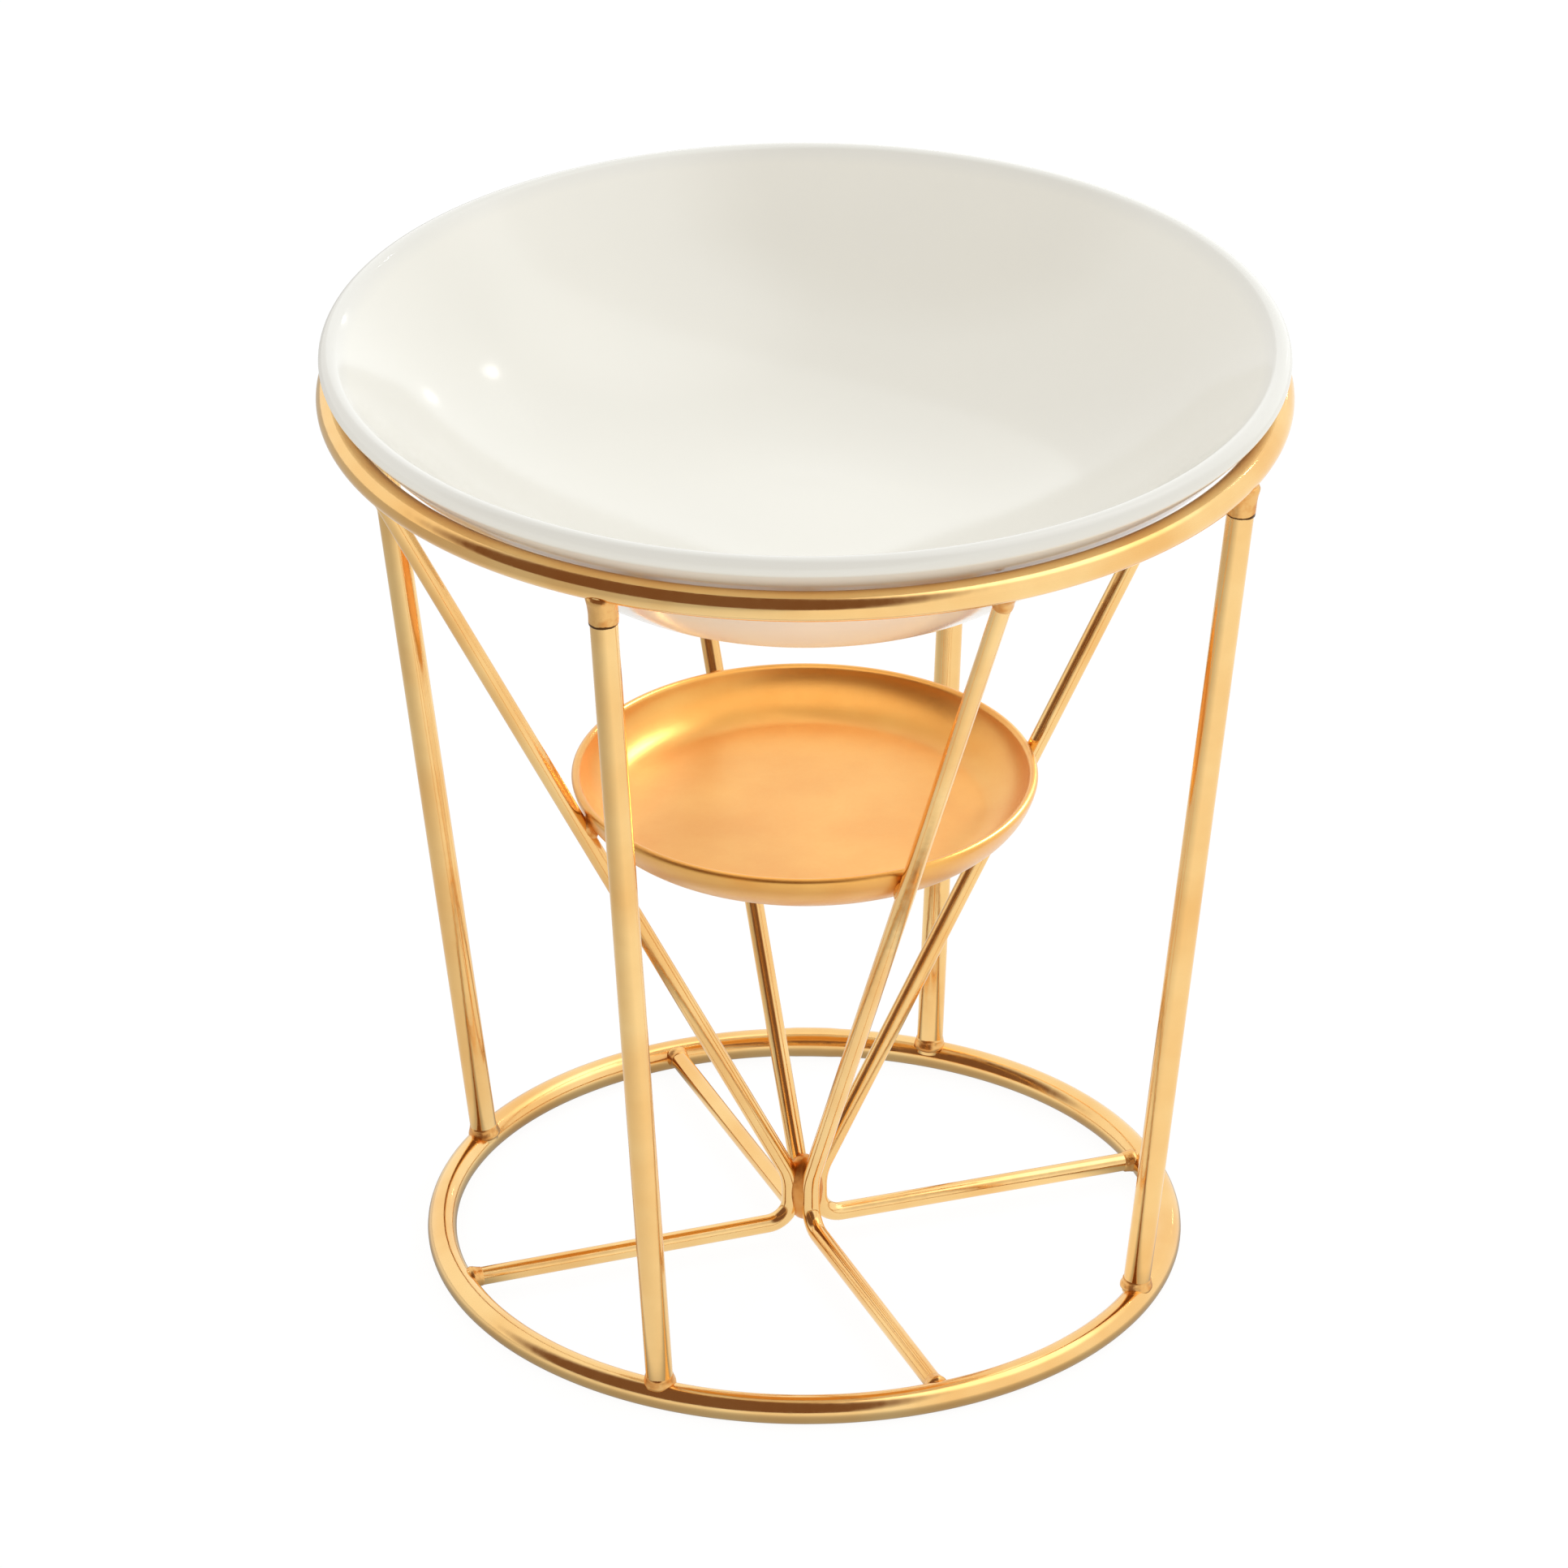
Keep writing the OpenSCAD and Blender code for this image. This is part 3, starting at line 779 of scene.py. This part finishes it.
class BURNER_OT_turn_dish(bpy.types.Operator):
    """Turns the dish and glazes it."""
    bl_idname = "burner.turn_dish"
    bl_label = "Turn the dish"

    def execute(self, context):
        size = context.scene.burner_sizes
        low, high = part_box("oil_dish")
        foot_z = low.z
        lip_r = size.lip_radius
        lip = Vector((size.dish_radius - lip_r, size.dish_height - lip_r))
        foot = Vector((size.foot_radius, size.foot_round))
        reach = lip - foot
        # The outer wall is an arc that runs into the round of the foot and the round of the lip
        far, near = size.wall_curve - lip_r, size.wall_curve - size.foot_round
        along = (near ** 2 - far ** 2 + reach.length ** 2) / (2 * reach.length)
        aside = math.sqrt(near ** 2 - along ** 2)
        wall_mid = foot + (along * reach + aside * Vector((-reach.y, reach.x))) / reach.length
        foot_turn = math.degrees(math.atan2(foot.y - wall_mid.y, foot.x - wall_mid.x))
        lip_turn = math.degrees(math.atan2(lip.y - wall_mid.y, lip.x - wall_mid.x))
        # Inside, a straight wall runs from the round of the lip to the round of a flat floor
        bowl_mid = Vector((size.bowl_floor, size.floor_thick + size.bowl_round))
        across = lip - bowl_mid
        tilt = math.asin((size.bowl_round + lip_r) / across.length)
        slope = math.degrees(math.atan2(across.y, across.x) + tilt)
        ring_in = size.foot_radius - size.foot_ring
        hollow = [(r, size.foot_recess) for r in (2 * MM, 12 * MM, ring_in - 1.5 * MM)]
        half = size.foot_recess / 2
        hollow += arc((ring_in - 2 * FOOT_EDGE, half), half, 90, 0, 5)
        hollow += arc((ring_in + FOOT_EDGE, FOOT_EDGE), FOOT_EDGE, 180, 270, 5)
        foot_arc = arc(foot, size.foot_round, -90, foot_turn, 16)
        wall = arc(wall_mid, size.wall_curve, foot_turn, lip_turn, 20)[1:-1]
        lip_arc = arc(lip, lip_r, lip_turn, slope + 90, 24)
        bowl = arc(bowl_mid, size.bowl_round, slope - 90, -90, 24)
        lip_end, bowl_start = Vector(lip_arc[-1]), Vector(bowl[0])
        inner = [tuple(lip_end.lerp(bowl_start, share)) for share in (0.1, 0.4, 0.7, 0.9)]
        floor = [(share * size.bowl_floor, size.floor_thick) for share in (0.9, 0.6, 0.3, 0.06)]
        profile = hollow + foot_arc + wall + lip_arc + inner + bowl + floor
        dish = turned("porcelain_dish", [(r, z + foot_z) for r, z in profile], size.segments)
        bpy.ops.object.shade_smooth_by_angle(angle=SMOOTH_BELOW)
        glaze = porcelain_glaze(context.scene.burner_finishes, foot_z, high.z)
        fit(dish, "dish", "oil_dish", glaze)
        bpy.data.collections["mirrors_window"].objects.link(dish)
        return {"FINISHED"}


class BURNER_OT_press_plate(bpy.types.Operator):
    """Presses the candle plate with a rounded rim."""
    bl_idname = "burner.press_plate"
    bl_label = "Press the candle plate"

    def execute(self, context):
        size = context.scene.burner_sizes
        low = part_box("candle_plate")[0]
        run = size.plate_radius - size.plate_flat
        turn = 2 * math.atan2(size.plate_height, run)
        curve = run / math.sin(turn)
        middle = (size.plate_flat, curve)
        # The wall stops short of the edge of the CAD plate, which leaves room for a rounded rim
        stop = math.degrees(turn) - 90 - RIM_SPARE
        outside = arc(middle, curve, -90, stop, 24)
        inside = arc(middle, curve - size.plate_sheet, stop, -90, 24)
        rim_mid = Vector(outside[-1]).lerp(Vector(inside[0]), 0.5)
        rim = arc(rim_mid, size.plate_sheet / 2, stop + RIM_CORNER, stop + 180 - RIM_CORNER, 10)
        under = [(r * size.plate_flat, 0) for r in (0.1, 0.5, 0.8, 0.95)]
        floor = [(r * size.plate_flat, size.plate_sheet) for r in (0.95, 0.8, 0.5, 0.1)]
        profile = under + outside + rim + inside + floor
        plate = turned("pressed_plate", [(r, z + low.z) for r, z in profile], size.segments)
        bpy.ops.object.shade_smooth_by_angle(angle=SMOOTH_BELOW)
        fit(plate, "frame", "candle_plate", satin_gold(context.scene.burner_finishes))
        bpy.data.collections["mirrors_plate_lights"].objects.link(plate)
        return {"FINISHED"}


def weld_group(context, name, node, collars):
    """One piece of weld beads. Each is turned round its wire and made uneven, and is given as its
    place, its way along the wire and its (distance, radius) points."""
    made = []
    for place, way, points in collars:
        drop = turned(name + "_drop", [(r, d) for d, r in points], 40)
        drop.rotation_euler = Vector(way).to_track_quat("Z", "Y").to_euler()
        drop.location = place
        bpy.ops.object.transform_apply(location=True, rotation=True, scale=True)
        made.append(drop)
    fresh_start()
    for drop in made:
        drop.select_set(True)
    context.view_layer.objects.active = made[0]
    if len(made) > 1:
        bpy.ops.object.join()
    piece = settle(name)
    bpy.ops.object.mode_set(mode="EDIT")
    bpy.ops.mesh.select_all(action="SELECT")
    bpy.ops.mesh.subdivide(number_cuts=1, smoothness=1.0)
    bpy.ops.object.mode_set(mode="OBJECT")
    grain = bpy.data.textures.new(name + "_grain", "CLOUDS")
    grain.noise_scale = 1.4 * MM
    swell = piece.modifiers.new("swell", "DISPLACE")
    swell.texture = grain
    swell.texture_coords = "GLOBAL"
    swell.strength = context.scene.burner_sizes.bead_rough
    swell.mid_level = 0.5
    bpy.ops.object.modifier_apply(modifier="swell")
    bpy.ops.object.mode_set(mode="EDIT")
    bpy.ops.mesh.select_all(action="SELECT")
    bpy.ops.mesh.vertices_smooth(factor=0.5, repeat=1)
    bpy.ops.mesh.normals_make_consistent(inside=False)
    bpy.ops.object.mode_set(mode="OBJECT")
    bpy.ops.object.shade_smooth()
    neck_end = TOP_RING[1] - RING_R - context.scene.burner_sizes.neck
    gold = material_once("plated_weld", weld_gold, context.scene.burner_finishes, neck_end)
    fit(piece, "frame", node, gold)


def collar(wire_r, length, swell):
    """Points of the neck of braze at a wire's top: a swell, a sleeve and a blunt lower edge."""
    shape = ((-0.3, -1.0), (-0.25, 0.9), (0, 1.0), (0.15, 0.75), (0.4, 0.5), (0.7, 0.45),
             (0.93, 0.45), (1.0, 0.3), (1.0, -0.8))
    return [(d * length, wire_r + s * swell) for d, s in shape]


def fillet(wire_r, length, swell):
    """Points of a fillet at a wire's foot, which thins away along the wire."""
    shape = ((-0.6, -1.0), (-0.5, 0.8), (-0.1, 1.0), (0.2, 0.6), (0.5, 0.3), (0.8, 0.1),
             (1.0, -0.15))
    return [(d * length, wire_r + s * swell) for d, s in shape]


def blob(radius, length):
    """Points of a drop of braze, long along its way."""
    turns = [math.pi * (i + 0.5) / 12 for i in range(12)]
    return [(-length * math.cos(t), radius * math.sin(t)) for t in turns]


class BURNER_OT_lay_welds(bpy.types.Operator):
    """Lays the weld beads at the wire ends, the plate and the hub."""
    bl_idname = "burner.lay_welds"
    bl_label = "Lay the welds"

    def execute(self, context):
        size = context.scene.burner_sizes
        up = Vector((0, 0, 1))
        tops, feet = [], []
        for top, foot in zip(UPRIGHT_TOPS, UPRIGHT_FEET):
            low, high = on_spoke(UPRIGHT_FOOT_R, BASE_RING[1], foot), on_spoke(*TOP_RING, top)
            way = (high - low).normalized()
            tops.append((high - way * RING_R, -way, collar(UPRIGHT_R, size.neck, NECK_SWELL)))
            feet.append((low + way * RING_R, way, fillet(UPRIGHT_R, *FOOT_FILLET)))
        weld_group(context, "upright_top_beads", "upright_top_welds", tops)
        weld_group(context, "upright_foot_beads", "upright_foot_welds", feet)
        ends, spokes, rests = [], [], []
        under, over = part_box("plate_welds")
        touch_z = (under.z + over.z) / 2 + 0.4 * MM
        for angle, turn in zip(STAY_ANGLES, SPOKE_TURNS):
            out, spoke = round_way(angle, 0), round_way(angle + turn, 0)
            slope = out * math.sin(STAY_LEAN) + up * math.cos(STAY_LEAN)
            end = out * STAY_TOP[0] + up * STAY_TOP[1]
            ends.append((end - slope * RING_R, -slope, collar(STAY_R, size.neck * 0.8, NECK_SWELL)))
            tip = out * HUB_R + spoke * (BASE_RING[0] - HUB_R - RING_R) + up * SPOKE_H
            spokes.append((tip, -spoke, fillet(STAY_R, *SPOKE_FILLET)))
            # The drop sits between the stay and the plate, 0.8 mm in from the middle of the wire
            touch_r = HUB_R + (touch_z - HUB_H) * math.tan(STAY_LEAN) - 0.8 * MM
            touch = out * touch_r + up * touch_z
            rests.append((touch, slope, blob(*PLATE_DROP)))
        weld_group(context, "stay_top_beads", "stay_top_welds", ends)
        weld_group(context, "spoke_beads", "spoke_welds", spokes)
        weld_group(context, "plate_beads", "plate_welds", rests)
        weld_group(context, "hub_bead", "hub_weld", [(up * HUB_DROP_H, up, blob(*HUB_DROP))])
        return {"FINISHED"}


class BURNER_PT_panel(bpy.types.Panel):
    """Lists the steps that build the burner."""
    bl_label = "Oil Burner"
    bl_idname = "BURNER_PT_panel"
    bl_space_type = "VIEW_3D"
    bl_region_type = "UI"
    bl_category = "Oil Burner"

    def draw(self, context):
        for operator in OPERATORS:
            self.layout.operator(operator.bl_idname)
        for group in (getattr(context.scene, name) for name in GROUPS):
            column = self.layout.column(heading=group.bl_rna.name)
            for name in group.__annotations__:
                column.prop(group, name)


OPERATORS = (BURNER_OT_set_stage, BURNER_OT_bend_rings, BURNER_OT_set_uprights,
             BURNER_OT_bend_stays, BURNER_OT_turn_dish, BURNER_OT_press_plate,
             BURNER_OT_lay_welds)
GROUPS = {"burner_sizes": BurnerSizes, "burner_finishes": BurnerFinishes,
          "burner_stage": BurnerStage}


def register():
    for each in (*GROUPS.values(), *OPERATORS, BURNER_PT_panel):
        bpy.utils.register_class(each)
    for name, group in GROUPS.items():
        setattr(bpy.types.Scene, name, PointerProperty(type=group))


def unregister():
    for name in GROUPS:
        delattr(bpy.types.Scene, name)
    for each in reversed((*GROUPS.values(), *OPERATORS, BURNER_PT_panel)):
        bpy.utils.unregister_class(each)


def main():
    register()
    bpy.ops.burner.set_stage()
    bpy.ops.burner.bend_rings()
    bpy.ops.burner.set_uprights()
    bpy.ops.burner.bend_stays()
    bpy.ops.burner.turn_dish()
    bpy.ops.burner.press_plate()
    bpy.ops.burner.lay_welds()


if __name__ == "__main__":
    main()
